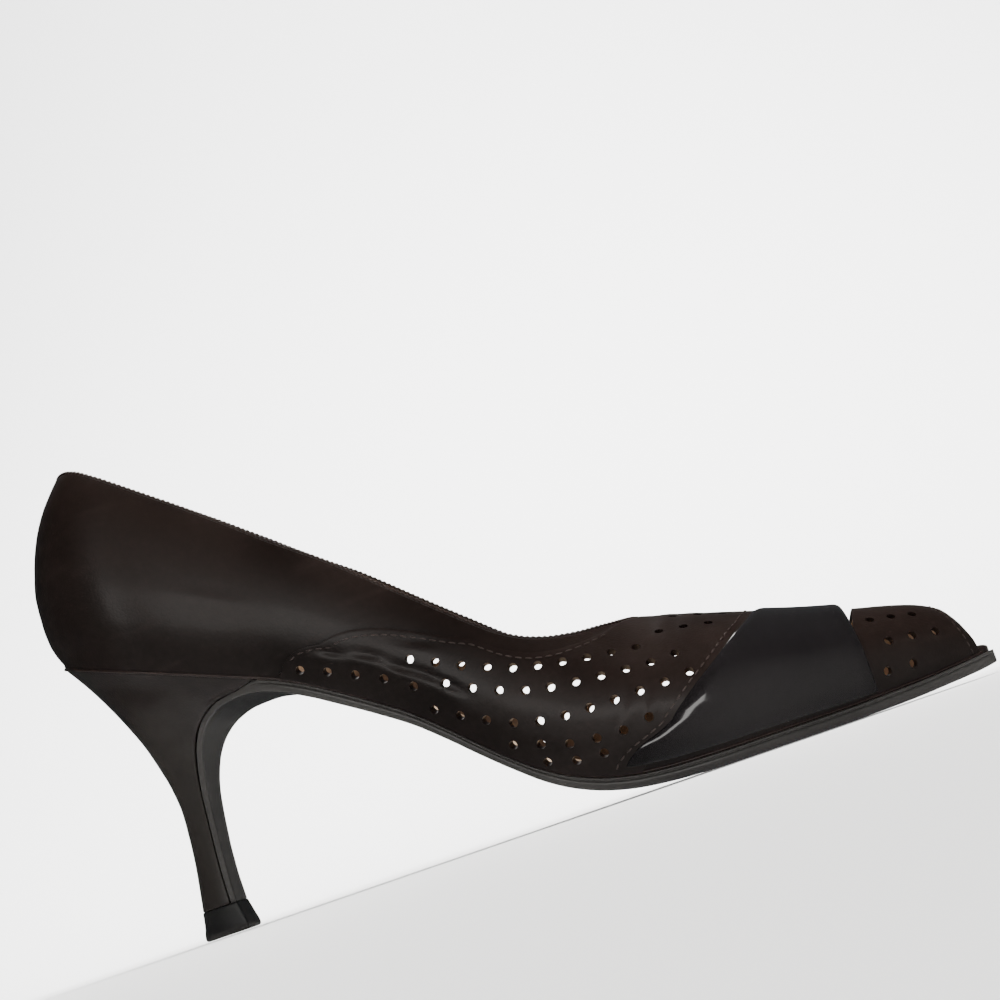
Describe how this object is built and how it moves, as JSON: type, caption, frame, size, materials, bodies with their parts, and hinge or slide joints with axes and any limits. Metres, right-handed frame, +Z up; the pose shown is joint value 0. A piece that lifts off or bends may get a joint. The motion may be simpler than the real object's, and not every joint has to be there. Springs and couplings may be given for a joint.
{
  "type": "peep toe pump",
  "caption": "High heeled court shoe for the right foot with a punched leather upper, a patent band over the vamp and an open toe",
  "frame": {"origin": "middle of the bounding box on the floor", "axes": "+X from heel to toe, +Z up, +Y to the medial side; the shoe stands on its top piece and forefoot"},
  "size_m": [0.2434, 0.0811, 0.1343],
  "materials": {
    "upper_leather": "smooth dark brown calf, satin",
    "patent_leather": "patent, mirror gloss",
    "sock_lining": "matt light tan lining",
    "sole_leather": "black painted sole leather, satin, worn to tan under the ball",
    "heel_cover": "leather covered heel, polished",
    "lift_rubber": "hard black top piece"
  },
  "bodies": {
    "root": {"upper": "upper_leather", "vamp_band": "patent_leather", "insole": "sock_lining", "outsole": "sole_leather", "heel": "heel_cover", "top_piece": "lift_rubber"}
  },
  "joints": []
}
